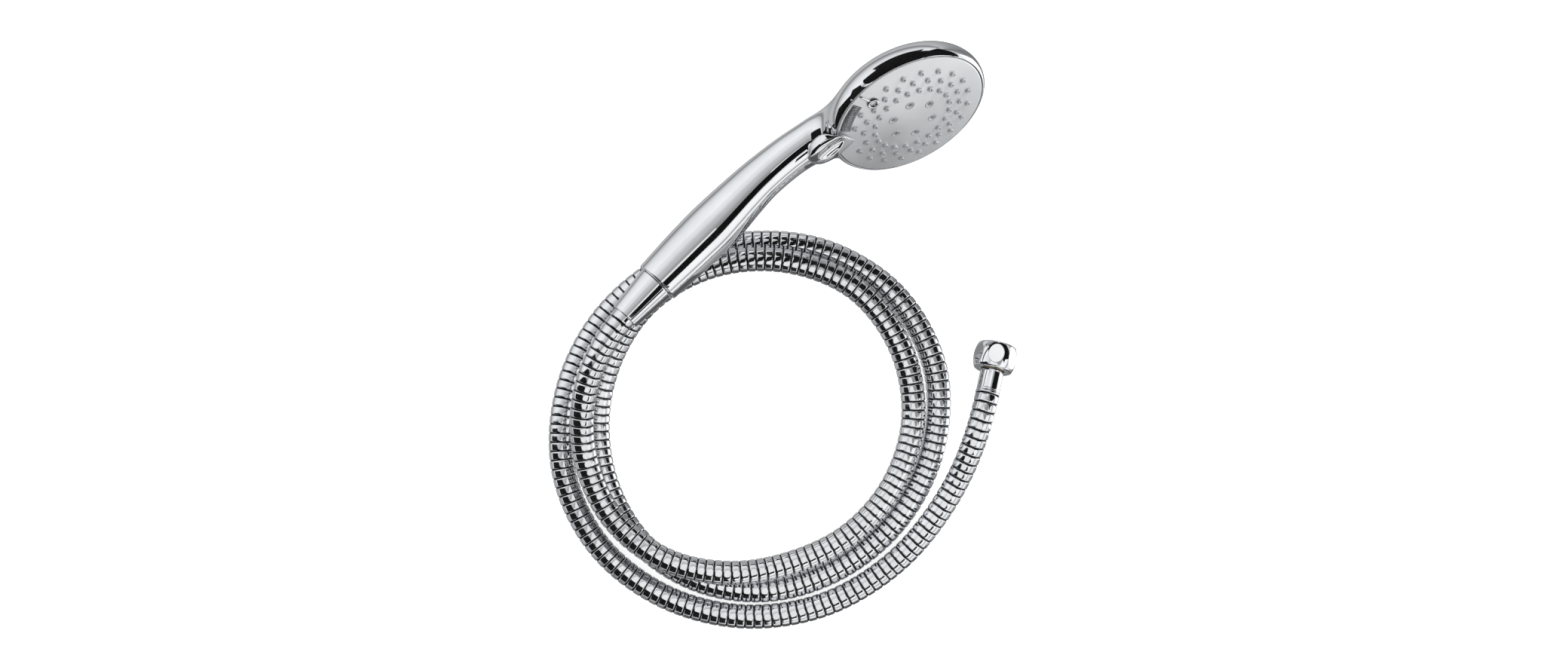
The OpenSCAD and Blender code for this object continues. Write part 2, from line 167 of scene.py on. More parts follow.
def merge(name, objs):
    """Joins objects of one body and material into one piece."""
    with bpy.context.temp_override(active_object=objs[0], selected_editable_objects=objs):
        bpy.ops.object.join()
    objs[0].name = name
    return objs[0]


# ---------------------------------------------------------------- materials


class Nodes:
    """Short hand for building a node material."""

    def __init__(self, name):
        self.mat = bpy.data.materials.new(name)
        self.mat.use_nodes = True
        self.tree = self.mat.node_tree
        self.shader = self.tree.nodes["Principled BSDF"]
        self.coords = self.add("ShaderNodeTexCoord").outputs["Object"]

    def add(self, kind, **values):
        node = self.tree.nodes.new(kind)
        for key, value in values.items():
            setattr(node, key, value)
        return node

    def link(self, a, b):
        self.tree.links.new(a, b)

    def noise(self, scale, detail=3.0, rough=0.5, stretch=None):
        node = self.add("ShaderNodeTexNoise")
        node.inputs["Scale"].default_value = scale
        node.inputs["Detail"].default_value = detail
        node.inputs["Roughness"].default_value = rough
        source = self.coords
        if stretch:
            mapping = self.add("ShaderNodeMapping")
            mapping.inputs["Scale"].default_value = stretch
            self.link(source, mapping.inputs["Vector"])
            source = mapping.outputs["Vector"]
        self.link(source, node.inputs["Vector"])
        return node.outputs["Fac"]

    def spread(self, fac, low, high, start=0.0, end=1.0):
        node = self.add("ShaderNodeMapRange")
        for key, value in (("From Min", start), ("From Max", end), ("To Min", low), ("To Max", high)):
            node.inputs[key].default_value = value
        self.link(fac, node.inputs["Value"])
        return node.outputs["Result"]

    def math(self, operation, a, b):
        node = self.add("ShaderNodeMath", operation=operation)
        for socket, value in zip(node.inputs, (a, b)):
            if isinstance(value, (int, float)):
                socket.default_value = value
            else:
                self.link(value, socket)
        return node.outputs[0]

    def blend(self, fac, a, b):
        node = self.add("ShaderNodeMix", data_type="RGBA")
        node.inputs["A"].default_value = (*a, 1)
        node.inputs["B"].default_value = (*b, 1)
        self.link(fac, node.inputs["Factor"])
        return node.outputs["Result"]

    def bump(self, height, distance, strength=1.0):
        node = self.add("ShaderNodeBump")
        node.inputs["Strength"].default_value = strength
        node.inputs["Distance"].default_value = distance
        self.link(height, node.inputs["Height"])
        self.link(node.outputs["Normal"], self.shader.inputs["Normal"])

    def set(self, **values):
        for key, value in values.items():
            self.shader.inputs[key.replace("_", " ")].default_value = value


def chrome(name, tint=(0.86, 0.87, 0.885), dull=(0.77, 0.78, 0.80), low=0.03, high=0.09, wave=0.000006,
           grooves=False):
    """Bright plating: faint water film, fine wiping marks, and a very slight orange peel.

    Where a mesh carries a "groove" value, shade is painted there: the colour goes near black down in the
    grooves.
    """
    m = Nodes(name)
    m.set(Metallic=1.0)
    film = m.noise(38, 4, 0.6)
    wipes = m.noise(260, 3, 0.55, stretch=(0.25, 1.0, 1.0))
    colour = m.blend(m.spread(film, 0, 1, 0.35, 0.75), tint, dull)
    if grooves:
        # Painted shade: the groove value mixes the colour to near black down in the grooves between the
        # ridges.
        painted_groove_shade = m.add("ShaderNodeMix", data_type="RGBA")
        painted_groove_shade.inputs["B"].default_value = (0.02, 0.02, 0.022, 1)
        m.link(colour, painted_groove_shade.inputs["A"])
        m.link(m.add("ShaderNodeAttribute", attribute_name="groove").outputs["Fac"], painted_groove_shade.inputs["Factor"])
        colour = painted_groove_shade.outputs["Result"]
    m.link(colour, m.shader.inputs["Base Color"])
    m.link(m.spread(m.math("MULTIPLY", film, wipes), low, high, 0.12, 0.42), m.shader.inputs["Roughness"])
    m.bump(m.noise(95, 2, 0.4), wave)
    return m.mat


def satin_lacquer():
    """Silver lacquer with fine flakes on the spray face."""
    m = Nodes("satin_lacquer")
    m.set(Metallic=0.7, Coat_Weight=0.25, Coat_Roughness=0.22)
    flakes = m.noise(5200, 2, 0.6)
    clouds = m.noise(30, 3, 0.5)
    m.link(m.blend(m.spread(clouds, 0, 1, 0.3, 0.7), (0.74, 0.75, 0.765), (0.82, 0.83, 0.845)),
           m.shader.inputs["Base Color"])
    m.link(m.spread(m.math("ADD", flakes, clouds), 0.30, 0.44, 0.6, 1.4), m.shader.inputs["Roughness"])
    m.bump(flakes, 0.00002, 0.35)
    return m.mat


def silicone():
    """Soft grey nozzle rubber with a slight bloom and limescale specks."""
    m = Nodes("nozzle_silicone")
    m.set(Subsurface_Weight=0.15, Subsurface_Radius=(0.002, 0.002, 0.002), IOR=1.41)
    bloom = m.noise(420, 4, 0.6)
    specks = m.noise(1700, 2, 0.5)
    m.link(m.blend(m.spread(m.math("MULTIPLY", bloom, specks), 0, 1, 0.2, 0.45),
                   (0.34, 0.35, 0.37), (0.50, 0.51, 0.52)), m.shader.inputs["Base Color"])
    m.link(m.spread(bloom, 0.38, 0.62), m.shader.inputs["Roughness"])
    m.bump(specks, 0.00003, 0.5)
    return m.mat


def black_rubber():
    """Moulded seal rubber: a talc bloom over matte black."""
    m = Nodes("black_rubber")
    bloom = m.noise(500, 5, 0.6)
    m.link(m.blend(m.spread(bloom, 0, 1, 0.45, 0.8), (0.018, 0.018, 0.019), (0.07, 0.07, 0.072)),
           m.shader.inputs["Base Color"])
    m.link(m.spread(bloom, 0.55, 0.85), m.shader.inputs["Roughness"])
    m.bump(m.noise(2600, 2, 0.5), 0.00004, 0.4)
    return m.mat


def moulded_plastic():
    """White moulded plastic of the inner pieces, with a spark-eroded grain."""
    m = Nodes("moulded_plastic")
    grain = m.noise(3200, 3, 0.6)
    flow = m.noise(60, 3, 0.5, stretch=(0.3, 1, 1))
    m.link(m.blend(m.spread(flow, 0, 1, 0.3, 0.7), (0.78, 0.78, 0.75), (0.86, 0.86, 0.84)),
           m.shader.inputs["Base Color"])
    m.link(m.spread(grain, 0.42, 0.62), m.shader.inputs["Roughness"])
    m.bump(grain, 0.00003, 0.4)
    return m.mat


def turned_metal(name, light, dark, low=0.16, high=0.34):
    """Turned or drawn metal with fine tool marks."""
    m = Nodes(name)
    m.set(Metallic=1.0)
    marks = m.noise(1500, 3, 0.6, stretch=(1, 1, 0.15))
    stain = m.noise(90, 4, 0.55)
    m.link(m.blend(m.spread(stain, 0, 1, 0.35, 0.7), light, dark), m.shader.inputs["Base Color"])
    m.link(m.spread(marks, low, high), m.shader.inputs["Roughness"])
    m.bump(marks, 0.00002, 0.4)
    return m.mat


def studio_floor():
    """Matte white sweep with a paper's faint tooth."""
    m = Nodes("studio_floor")
    tooth = m.noise(300, 3, 0.5)
    m.link(m.blend(tooth, (0.955, 0.955, 0.957), (0.97, 0.97, 0.972)), m.shader.inputs["Base Color"])
    m.set(Roughness=0.9, Specular_IOR_Level=0.1, Emission_Color=(1, 1, 1, 1), Emission_Strength=0.72)
    return m.mat


plating = chrome("chrome_plating")
metal = chrome("chrome_metal", low=0.035, high=0.11)
strip_metal = chrome("hose_strip", tint=(0.84, 0.85, 0.87), dull=(0.74, 0.75, 0.77), low=0.05, high=0.14,
                     grooves=True)
lacquer = satin_lacquer()
nozzle_rubber = silicone()
seal_rubber = black_rubber()
plastic = moulded_plastic()
steel = turned_metal("stainless_steel", (0.62, 0.62, 0.60), (0.48, 0.48, 0.47))
brass = turned_metal("turned_brass", (0.36, 0.32, 0.24), (0.24, 0.21, 0.15))
CAD_LOOKS = {
    "chrome_plating": plating, "chrome_metal": metal, "hose_strip": strip_metal, "satin_face": lacquer,
    "grey_silicone": nozzle_rubber, "black_rubber": seal_rubber, "white_plastic": plastic,
    "steel_screw": steel, "brass_fitting": brass,
}


def dress_cad_nodes():
    """Every CAD node takes the procedural material of its record slot."""
    for sub in frame["record"]["subparts"]:
        data = frame["nodes"][sub["node"]].data
        data.materials.clear()
        data.materials.append(CAD_LOOKS[sub["material_slot"]])


# ---------------------------------------------------------------- hose

HOSE_D = 14.0
HOSE_START = 16.0
CONE_END = 27.0
FERRULE_START = -22.3
LOOP_AT = np.array([-129.0, -68.8])
LOOP_FIRST, LOOP_STEP = 116, 25
LOOP_STATIONS = [
    (95.5, 37), (94.5, 26), (92.5, 21.5), (88, 22), (82.5, 20), (80, 16), (83, 15), (88, 14),
    (94, 12.5), (98.5, 13.4), (101, 16.4), (98.5, 18), (95.5, 17.9), (92.5, 17), (88.5, 10.5),
    (86.5, 7), (87, 7), (89.5, 7), (91, 7), (92.5, 7), (94.5, 7), (99, 7), (105.5, 7), (112, 7),
    (113.5, 7), (110.5, 7), (106, 7), (104.5, 7), (104.5, 7), (106, 7), (108.5, 7), (108.5, 7),
    (107, 7), (107, 7), (109, 7), (113, 8), (121, 13)]
RIDGE_PITCH = 5.0
# One ridge of the strip: distance along the hose as a share of the pitch, radius
RIDGE = [(0.00, 6.50), (0.04, 6.50), (0.07, 6.84), (0.12, 6.965), (0.20, 6.995), (0.45, 7.00),
         (0.72, 6.99), (0.81, 6.96), (0.87, 6.84), (0.90, 6.50)]
HOSE_SIDES = 36
GROOVE_TOP = 6.9


def hose_points():
    out_of_nut, into_nut = below.aim([0, 0, 1]), nut.aim([0, 0, 1])
    points = [HANDLE_AT + HOSE_START * out_of_nut, HANDLE_AT + (CONE_END + 2) * out_of_nut]
    for i, (radius, height) in enumerate(LOOP_STATIONS):
        a = math.radians(LOOP_FIRST + LOOP_STEP * i)
        middle = LOOP_AT + radius * np.array([math.cos(a), math.sin(a)])
        points.append(np.array([*middle, height]))
    points.append(NUT_AT + FERRULE_START * into_nut)
    return np.array(points), out_of_nut, into_nut


def hose_line(steps=24):
    """Fine points of the smooth line through the hose's route."""
    p, first, last = hose_points()

    def slope(i):
        if i == len(p) - 1:
            return last
        a, b = np.linalg.norm(p[i] - p[i - 1]), np.linalg.norm(p[i + 1] - p[i])
        return ((p[i + 1] - p[i]) * a / b + (p[i] - p[i - 1]) * b / a) / (a + b)

    out = [p[0] + (p[1] - p[0]) * t for t in np.linspace(0, 1, 12, endpoint=False)]
    for i in range(1, len(p) - 1):
        span = np.linalg.norm(p[i + 1] - p[i])
        m0, m1 = slope(i) * span, slope(i + 1) * span
        for t in np.linspace(0, 1, steps, endpoint=False):
            q = ((2 * t ** 3 - 3 * t * t + 1) * p[i] + (t ** 3 - 2 * t * t + t) * m0
                 + (3 * t * t - 2 * t ** 3) * p[i + 1] + (t ** 3 - t * t) * m1)
            out.append([q[0], q[1], max(q[2], HOSE_D / 2)])
    out.append(p[-1])
    return np.array(out)


def along(line, at):
    """Points and headings at the given lengths along a line."""
    run = np.r_[0, np.cumsum(np.linalg.norm(np.diff(line, axis=0), axis=1))]
    points = np.stack([np.interp(at, run, line[:, k]) for k in range(3)], axis=1)
    ahead = np.stack([np.interp(at + 1.5, run, line[:, k]) for k in range(3)], axis=1)
    behind = np.stack([np.interp(at - 1.5, run, line[:, k]) for k in range(3)], axis=1)
    heading = ahead - behind
    return points, heading / np.linalg.norm(heading, axis=1)[:, None], run[-1]


def tube_points(points, heading, radii, sides):
    side = np.cross(heading, [0, 0, 1])
    side /= np.linalg.norm(side, axis=1)[:, None]
    top = np.cross(side, heading)
    angles = (np.arange(sides) * 2 * math.pi / sides)[None, :, None]
    ring = np.cos(angles) * top[:, None, :] + np.sin(angles) * side[:, None, :]
    return (points[:, None, :] + np.asarray(radii)[:, None, None] * ring).reshape(-1, 3)


def make_hose():
    line = hose_line()
    length = along(line, np.array([0.0]))[2]
    ridges = int(length / RIDGE_PITCH)
    pitch = length / ridges
    at = np.array([(i + share) * pitch for i in range(ridges) for share, _ in RIDGE] + [length])
    radii = [r for _ in range(ridges) for _, r in RIDGE] + [RIDGE[0][1]]
    centres, heading, _ = along(line, at)
    points = tube_points(centres, heading, radii, HOSE_SIDES)
    faces = grid_faces(len(at), HOSE_SIDES)
    last = (len(at) - 1) * HOSE_SIDES
    faces += [tuple(range(HOSE_SIDES))[::-1], tuple(range(last, last + HOSE_SIDES))]
    hose = add_mesh("hose_ridged", points, faces, strip_metal, "handset")
    # The groove value, 0 on the ridge tops and 1 at the groove floor, paints shade into the strip's colour.
    depth = np.clip((GROOVE_TOP - np.repeat(radii, HOSE_SIDES)) / (GROOVE_TOP - RIDGE[0][1]), 0, 1)
    hose.data.attributes.new("groove", "FLOAT", "POINT").data.foreach_set("value", depth)
    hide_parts("hose_tube")
    path = along(line, np.linspace(0, length, 420))[0] * MM
    return hose, path, length * MM


# ---------------------------------------------------------------- smooth solids from fields


def field_mesh(field, low, high, step):
    """Points and quads on the zero surface of a field, by surface nets and a few Newton steps."""
    axes = [np.arange(a, b + step, step) for a, b in zip(low, high)]
    shape = tuple(len(a) for a in axes)
    grid = np.stack(np.meshgrid(*axes, indexing="ij"), axis=-1).reshape(-1, 3)
    value = np.concatenate([field(part) for part in np.array_split(grid, 12)]).reshape(shape)
    inside = value < 0
    cells = tuple(n - 1 for n in shape)
    total, count = np.zeros(cells + (3,)), np.zeros(cells)
    steps = {0: (1, 0, 0), 1: (0, 1, 0), 2: (0, 0, 1)}
    for axis, d in steps.items():
        others = [k for k in range(3) if k != axis]
        for i in (0, 1):
            for j in (0, 1):
                near = [slice(0, n) for n in cells]
                for k, o in zip(others, (i, j)):
                    near[k] = slice(o, o + cells[k])
                far = [slice(q.start + e, q.stop + e) for q, e in zip(near, d)]
                a, b = value[tuple(near)], value[tuple(far)]
                cross = (a < 0) != (b < 0)
                t = np.where(cross, a / np.where(cross, a - b, 1), 0)
                corner = np.zeros(cells + (3,))
                corner[..., axis] = t
                corner[..., others[0]], corner[..., others[1]] = i, j
                total += corner * cross[..., None]
                count += cross
    used = count > 0
    index = -np.ones(cells, int)
    index[used] = np.arange(used.sum())
    base = np.stack(np.nonzero(used), axis=1) * step + np.array(low)
    points = base + total[used] / count[used][:, None] * step
    for _ in range(5):
        slope = field_slope(field, points)
        f = field(points)
        move = slope * (f / np.maximum((slope ** 2).sum(1), 1e-6))[:, None]
        points = points - np.clip(move, -step, step)
    faces = []
    for axis in steps:
        u, v = [k for k in range(3) if k != axis]
        low_part = [slice(1, n) for n in cells]
        low_part[axis] = slice(0, cells[axis])
        high_part = list(low_part)
        high_part[axis] = slice(1, cells[axis] + 1)
        a, b = inside[tuple(low_part)], inside[tuple(high_part)]
        at = np.stack(np.nonzero(a != b), axis=1) + np.array([q.start for q in low_part])
        keep = a[a != b]

        def cell(du, dv):
            c = at.copy()
            c[:, u] -= du
            c[:, v] -= dv
            return index[c[:, 0], c[:, 1], c[:, 2]]

        quad = np.stack([cell(1, 1), cell(0, 1), cell(0, 0), cell(1, 0)], axis=1)
        flip = keep if axis != 1 else ~keep
        quad[~flip] = quad[~flip][:, ::-1]
        faces += [tuple(q) for q in quad if min(q) >= 0]
    return points, faces


def field_slope(field, points, d=0.02):
    out = np.empty_like(points)
    for k in range(3):
        e = np.zeros(3)
        e[k] = d
        out[:, k] = (field(points + e) - field(points - e)) / (2 * d)
    return out


def field_object(name, field, low, high, step, material, body, place, cuts=()):
    """A field's surface, trimmed by planes (point, outward normal), with the field's own normals."""
    points, faces = field_mesh(field, low, high, step)
    bm = bmesh.new()
    verts = [bm.verts.new(q) for q in points]
    for f in faces:
        bm.faces.new([verts[i] for i in f])
    for at, out in cuts:
        geom = list(bm.verts) + list(bm.edges) + list(bm.faces)
        bmesh.ops.bisect_plane(bm, geom=geom, plane_co=at, plane_no=out, clear_outer=True, dist=1e-4)
    bm.verts.index_update()
    points = np.array([v.co[:] for v in bm.verts])
    faces = [[v.index for v in f.verts] for f in bm.faces]
    bm.free()
    slope = field_slope(field, points)
    normals = slope / np.linalg.norm(slope, axis=1)[:, None]
    return add_mesh(name, points, faces, material, body, place, normals)


def smooth_union(a, b, k):
    h = np.clip(0.5 + 0.5 * (b - a) / k, 0, 1)
    return b + (a - b) * h - k * h * (1 - h)


def smooth_profile(points, steps):
    """Extra points on a smooth curve through a profile."""
    p = np.array(points, float)
    run = np.r_[0, np.cumsum(np.linalg.norm(np.diff(p, axis=0), axis=1))]
    spans = [np.linspace(a, b, steps, endpoint=False) for a, b in zip(run, run[1:])]
    fine = np.concatenate(spans + [run[-1:]])
    return [tuple(q) for q in eased(fine, np.column_stack([run, p]))]


def eased(x, table):
    """Smooth values of a table of rows whose first entry is the position."""
    t = np.asarray(table, float)
    xs, ys = t[:, 0], t[:, 1:]
    step = np.diff(xs)
    rise = np.diff(ys, axis=0) / step[:, None]
    slope = np.empty_like(ys)
    slope[0], slope[-1] = rise[0], rise[-1]
    w0, w1 = step[1:, None], step[:-1, None]
    slope[1:-1] = (rise[:-1] * w0 + rise[1:] * w1) / (w0 + w1)
    x = np.clip(x, xs[0], xs[-1])
    i = np.clip(np.searchsorted(xs, x, side="right") - 1, 0, len(step) - 1)
    h = step[i][:, None]
    u = ((x - xs[i]) / step[i])[:, None]
    return ((2 * u ** 3 - 3 * u ** 2 + 1) * ys[i] + (u ** 3 - 2 * u ** 2 + u) * h * slope[i]
            + (3 * u ** 2 - 2 * u ** 3) * ys[i + 1] + (u ** 3 - u ** 2) * h * slope[i + 1])


# ---------------------------------------------------------------- handset shell

# Distance from the handle's lower end, height of the middle, half height, half width
HANDLE_SECTIONS = [
    (0, 0, 13.4, 13.4), (8, 0.3, 13.9, 13.9), (18, 0.7, 14.5, 14.5), (30, 1.2, 15, 15),
    (45, 1.9, 15.3, 15.3), (58, 2.1, 14.6, 14.6), (70, 2.2, 13.7, 13.7), (83, 2.8, 12.8, 12.9),
    (95, 4.5, 12.3, 12.9), (107, 7.1, 12.1, 13.4), (118, 10.9, 12.2, 14.8), (128, 15, 12.3, 17),
    (138, 19.8, 11.4, 19.6), (150, 26, 9.4, 20.5), (165, 33, 5.5, 17)]
NECK_FROM = 92.0
HEAD_R, HEAD_DEPTH, HEAD_WAIST = 48.4, 28.0, 4.8
LIP_FROM = -4.8
FACE_R, FACE_RISE = 45.4, 5.0
DOME_R = (FACE_R ** 2 + FACE_RISE ** 2) / (2 * FACE_RISE)
CAVITY_R = 45.75
NECK_BLEND = 11.0


def to_face(p):
    return (p - FACE_AT) @ turn_y(-FACE_TILT)


def handle_field(p):
    s = eased(p[:, 0], HANDLE_SECTIONS)
    q = np.sqrt((p[:, 1] / s[:, 2]) ** 2 + ((p[:, 2] - s[:, 0]) / s[:, 1]) ** 2)
    return np.maximum((q - 1) * np.sqrt(s[:, 1] * s[:, 2]), p[:, 0] - 170)


def head_field(f):
    """The head's back: a rim of even width, then an elliptic dome."""
    r = np.hypot(f[:, 0], f[:, 1])
    depth = np.maximum(-f[:, 2] - HEAD_WAIST, 0)
    q = np.sqrt((r / HEAD_R) ** 2 + (depth / (HEAD_DEPTH - HEAD_WAIST)) ** 2)
    steep = np.sqrt((r / HEAD_R ** 2) ** 2 + (depth / (HEAD_DEPTH - HEAD_WAIST) ** 2) ** 2)
    return (q - 1) * q / np.maximum(steep, 1e-4)


def shell_field(p):
    f = to_face(p)
    blend = NECK_BLEND * np.clip((-f[:, 2] - 2) / 7, 0.05, 1)
    return smooth_union(handle_field(p), head_field(f), blend)


def make_neck_and_head():
    lip_at = FACE_AT + turn_y(-FACE_TILT) @ np.array([0, 0, LIP_FROM])
    lip_out = turn_y(-FACE_TILT) @ np.array([0, 0, 1.0])
    cuts = [((NECK_FROM, 0, 0), (-1, 0, 0)), (tuple(lip_at), tuple(lip_out))]
    return field_object("neck_and_head", shell_field, (NECK_FROM - 3, -50, -14), (218, 50, 66), 0.9,
                        plating, "handset", handset, cuts)


def make_handle():
    """The straight part of the handle, open at its lower end behind a rounded lip."""
    sides = 160
    end = [(1.6, 11.25), (0.35, 11.25), (0.08, 11.4), (0.0, 11.75), (0.0, 12.7), (0.1, 13.05), (0.35, 13.3)]
    xs = np.r_[0.8, np.arange(2, NECK_FROM, 1.5), NECK_FROM]
    s = eased(xs, HANDLE_SECTIONS)
    rows = [(x, 0.0, r, r) for x, r in end] + [(x, *row) for x, row in zip(xs, s)]
    angles = np.arange(sides) * 2 * math.pi / sides
    points = [(x, -b * math.sin(t), z + a * math.cos(t)) for x, z, a, b in rows for t in angles]
    obj = add_mesh("handle", points, grid_faces(len(rows), sides), plating, "handset", handset)
    mark_sharp(obj, 60)
    return obj


def make_lip():
    """The rim, rolled over from the head's back to the gap round the spray plate."""
    shoulder = smooth_profile([
        (HEAD_R, LIP_FROM), (48.3, -3.5), (47.98, -2.3), (47.45, -1.3), (46.8, -0.55), (46.3, -0.15),
        (46.1, -0.05), (45.95, -0.12), (45.82, -0.4), (CAVITY_R, -0.9)], 5)
    points, faces = lathe_data(shoulder + [(CAVITY_R, -9.0)], 240)
    return add_mesh("face_lip", points, faces, plating, "handset", face)


def make_shell():
    shell = merge("shell", [make_neck_and_head(), make_handle(), make_lip()])
    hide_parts("body_shell")


def make_end_collar():
    profile = [(9.55, -2.2), (9.55, 0.3), (11.05, 0.3), (11.05, -2.2)]
    ring = lathe("handle_end_ring", profile, metal, "handset", below, radius=0.3)
    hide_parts("end_collar")


# ---------------------------------------------------------------- spray face

NOZZLE_RINGS = [(23.3, 4.6), (29.7, 13.4), (35.7, 4.7)]
RING_NOZZLES = 20
NOZZLE_HOLE_R = 1.8
JETS, JET_RING_R, JET_FIRST, JET_HOLE_R = 6, 13.1, 16.5, 2.9
LEVER_ANGLE = 164
POINTER_ANGLE, POINTER_R = 113.5, 33.9
COMB_FROM, COMB_TO, COMB_IN, COMB_OUT = 122, 152, 37.8, 44.0
COMB_STEPS, COMB_FLOOR, COMB_BED = 24, -0.8, -0.62
RIBS, RIB_LENGTH, RIB_WIDTH, RIB_FOOT, RIB_TOP = 19, 5.2, 0.4, -0.75, 0.9
# The domed skin ends at SKIN_R, where the plate's edge rolls down
SKIN_R, RIM_SIDES = 44.7, 240
# How far inner points of the skin's mesh stay from nozzle middles and from the comb
FILL_CLEAR, COMB_CLEAR = 2.5, 0.8
# Steps of a hole's rolled edge: inset, drop
ROLLED_WALL = ((0, 0), (0.05, 0.03), (0.1, 0.12), (0.12, 0.3), (0.12, 1.2))
MAT_INNER_R, MAT_OUTER_R, JET_DISC_R, MAT_DROP = 17.3, 43.2, 17.2, 1.15


def skin(r):
    return FACE_RISE - DOME_R + np.sqrt(DOME_R ** 2 - np.asarray(r, float) ** 2)


def polar(r, degrees):
    a = math.radians(degrees)
    return np.array([r * math.cos(a), r * math.sin(a)])


def nozzle_places():
    out = []
    for r, first in NOZZLE_RINGS:
        for k in range(RING_NOZZLES):
            a = first + 360 * k / RING_NOZZLES
            if r < 33 or (abs(a - POINTER_ANGLE) > 8 and abs(a - LEVER_ANGLE) > 8):
                out.append(polar(r, a))
    return out


def jet_places():
    return [polar(JET_RING_R, JET_FIRST + 360 * k / JETS) for k in range(JETS)]


def circle(centre, r, n):
    return [centre + polar(r, 360 * k / n) for k in range(n)]


def comb_outline():
    angles = np.linspace(COMB_FROM, COMB_TO, COMB_STEPS)
    return [polar(COMB_IN, a) for a in angles] + [polar(COMB_OUT, a) for a in angles[::-1]]


def make_face_plate():
    """A domed skin with rolled-in holes for every nozzle and a sunk arc for the comb."""
    holes = [(circle(c, NOZZLE_HOLE_R, 20), c) for c in nozzle_places()]
    holes += [(circle(c, JET_HOLE_R, 36), c) for c in jet_places()]
    comb = comb_outline()
    loops = [circle(np.zeros(2), SKIN_R, RIM_SIDES), comb] + [loop for loop, _ in holes]
    flat, edges = [], []
    for loop in loops:
        start = len(flat)
        flat += loop
        edges += [(start + k, start + (k + 1) % len(loop)) for k in range(len(loop))]
    rings = ((3, 6), (7.5, 14), (19, 44), (27, 50), (33.4, 60), (41.5, 90))
    fill = [polar(r, 360 * k / n + 3 * r) for r, n in rings for k in range(n)]
    clear = [q for q in fill if all(np.linalg.norm(q - c) > FILL_CLEAR for _, c in holes[:-JETS])
             and not inside_comb(q, COMB_CLEAR)]
    out = delaunay_2d_cdt([Vector(q) for q in flat + clear], edges, [], 0, 1e-5)
    verts = np.array([v[:] for v in out[0]])
    centres = np.array([h[1] for h in holes])
    reach = np.array([NOZZLE_HOLE_R] * (len(holes) - JETS) + [JET_HOLE_R] * JETS)
    faces = []
    for f in out[2]:
        mid = verts[list(f)].mean(0)
        if (np.linalg.norm(centres - mid, axis=1) > reach).all() and not inside_comb(mid, 0):
            faces.append(f)
    points = [(x, y, float(skin(math.hypot(x, y)))) for x, y in verts]
    normals = [(x, y, math.sqrt(DOME_R ** 2 - x * x - y * y)) for x, y in verts]
    parts = [face_part("plate_skin", points, faces, [np.array(n) / DOME_R for n in normals])]
    wall_points, wall_faces = [], []
    for loop, c in holes:
        add_rolled_wall(wall_points, wall_faces, loop, c)
    add_comb_wall(wall_points, wall_faces, comb)
    parts.append(face_part("plate_holes", wall_points, wall_faces))
    edge = [(SKIN_R, float(skin(SKIN_R))), (45.05, -0.02), (45.3, -0.25), (FACE_R, -0.7), (FACE_R, -6.9)]
    parts.append(face_part("plate_edge", *lathe_data(edge, RIM_SIDES)))
    plate = merge("spray_plate", parts)
    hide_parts("face_plate")


def inside_comb(q, margin):
    r, a = math.hypot(*q), math.degrees(math.atan2(q[1], q[0]))
    spare = math.degrees(margin / 42)
    return COMB_IN - margin < r < COMB_OUT + margin and COMB_FROM - spare < a < COMB_TO + spare


def face_part(name, points, faces, normals=None):
    return add_mesh(name, points, faces, lacquer, "selector", face, normals)


def add_rolled_wall(points, faces, loop, centre):
    """The skin rolls over into a hole: rings from the skin down the wall."""
    start, n = len(points), len(loop)
    for inset, drop in ROLLED_WALL:
        for q in loop:
            d = np.asarray(q) - centre
            p = centre + d * (1 - inset / np.linalg.norm(d))
            points.append((p[0], p[1], float(skin(np.linalg.norm(q))) - drop))
    faces += grid_faces(len(ROLLED_WALL), n, start)


def add_comb_wall(points, faces, loop):
    """The sunk arc's wall, down from the skin, and its floor."""
    start, n = len(points), len(loop)
    for drop in (0.0, 0.06, None):
        for q in loop:
            z = float(skin(np.linalg.norm(q)))
            points.append((q[0], q[1], COMB_FLOOR if drop is None else z - drop))
    faces += grid_faces(3, n, start)
    half = n // 2
    last = start + 2 * n
    faces += [(last + k, last + k + 1, last + n - 2 - k, last + n - 1 - k) for k in range(half - 1)]


# A nozzle and a middle jet: radius, height over the skin
NUB = [(1.68, -1.1), (1.68, -0.4), (1.6, 0.5), (1.5, 1.15), (1.38, 1.42), (1.15, 1.5), (0.75, 1.48),
       (0.5, 1.36), (0.45, 1.0), (0.42, -0.4), (0.0, -0.5)]
JET = [(2.75, -1.1), (2.75, -0.25), (2.66, 0.05), (2.45, 0.2), (2.2, 0.16), (1.95, -0.05), (1.6, -0.3),
       (1.25, -0.2), (1.1, -0.25), (1.02, -0.5), (1.0, -1.9), (0.0, -2.0)]


def studs(name, profile, places, sides):
    """The same small turned shape standing square to the skin at every place."""
    points, faces = [], []
    for c in places:
        r = np.linalg.norm(c)
        up = np.array([c[0], c[1], math.sqrt(DOME_R ** 2 - r * r)]) / DOME_R
        turn = np.array(Vector((0, 0, 1)).rotation_difference(Vector(up)).to_matrix())
        shape, quads = lathe_data(profile, sides)
        start = len(points)
        points += list(np.array(shape) @ turn.T + np.array([c[0], c[1], float(skin(r))]))
        faces += [tuple(start + i for i in q) for q in quads]
    obj = add_mesh(name, points, faces, nozzle_rubber, "selector", face)
    mark_sharp(obj, 70)
    return obj


def backing(name, inner, outer):
    """The mat's own skin, seen down the holes of the plate."""
    profile = [(r, float(skin(r)) - MAT_DROP) for r in np.linspace(inner, outer, 12)]
    return add_mesh(name, *lathe_data(profile, 96), nozzle_rubber, "selector", face)


def make_nozzles():
    mat = merge("nozzle_nubs", [studs("nubs", NUB, nozzle_places(), 20),
                                backing("mat_skin", MAT_INNER_R, MAT_OUTER_R)])
    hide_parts("nozzle_mat")
    jets = merge("middle_jets", [studs("jets", JET, jet_places(), 36),
                                 backing("jet_disc", 0.0, JET_DISC_R)])
    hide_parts("jet_insert")


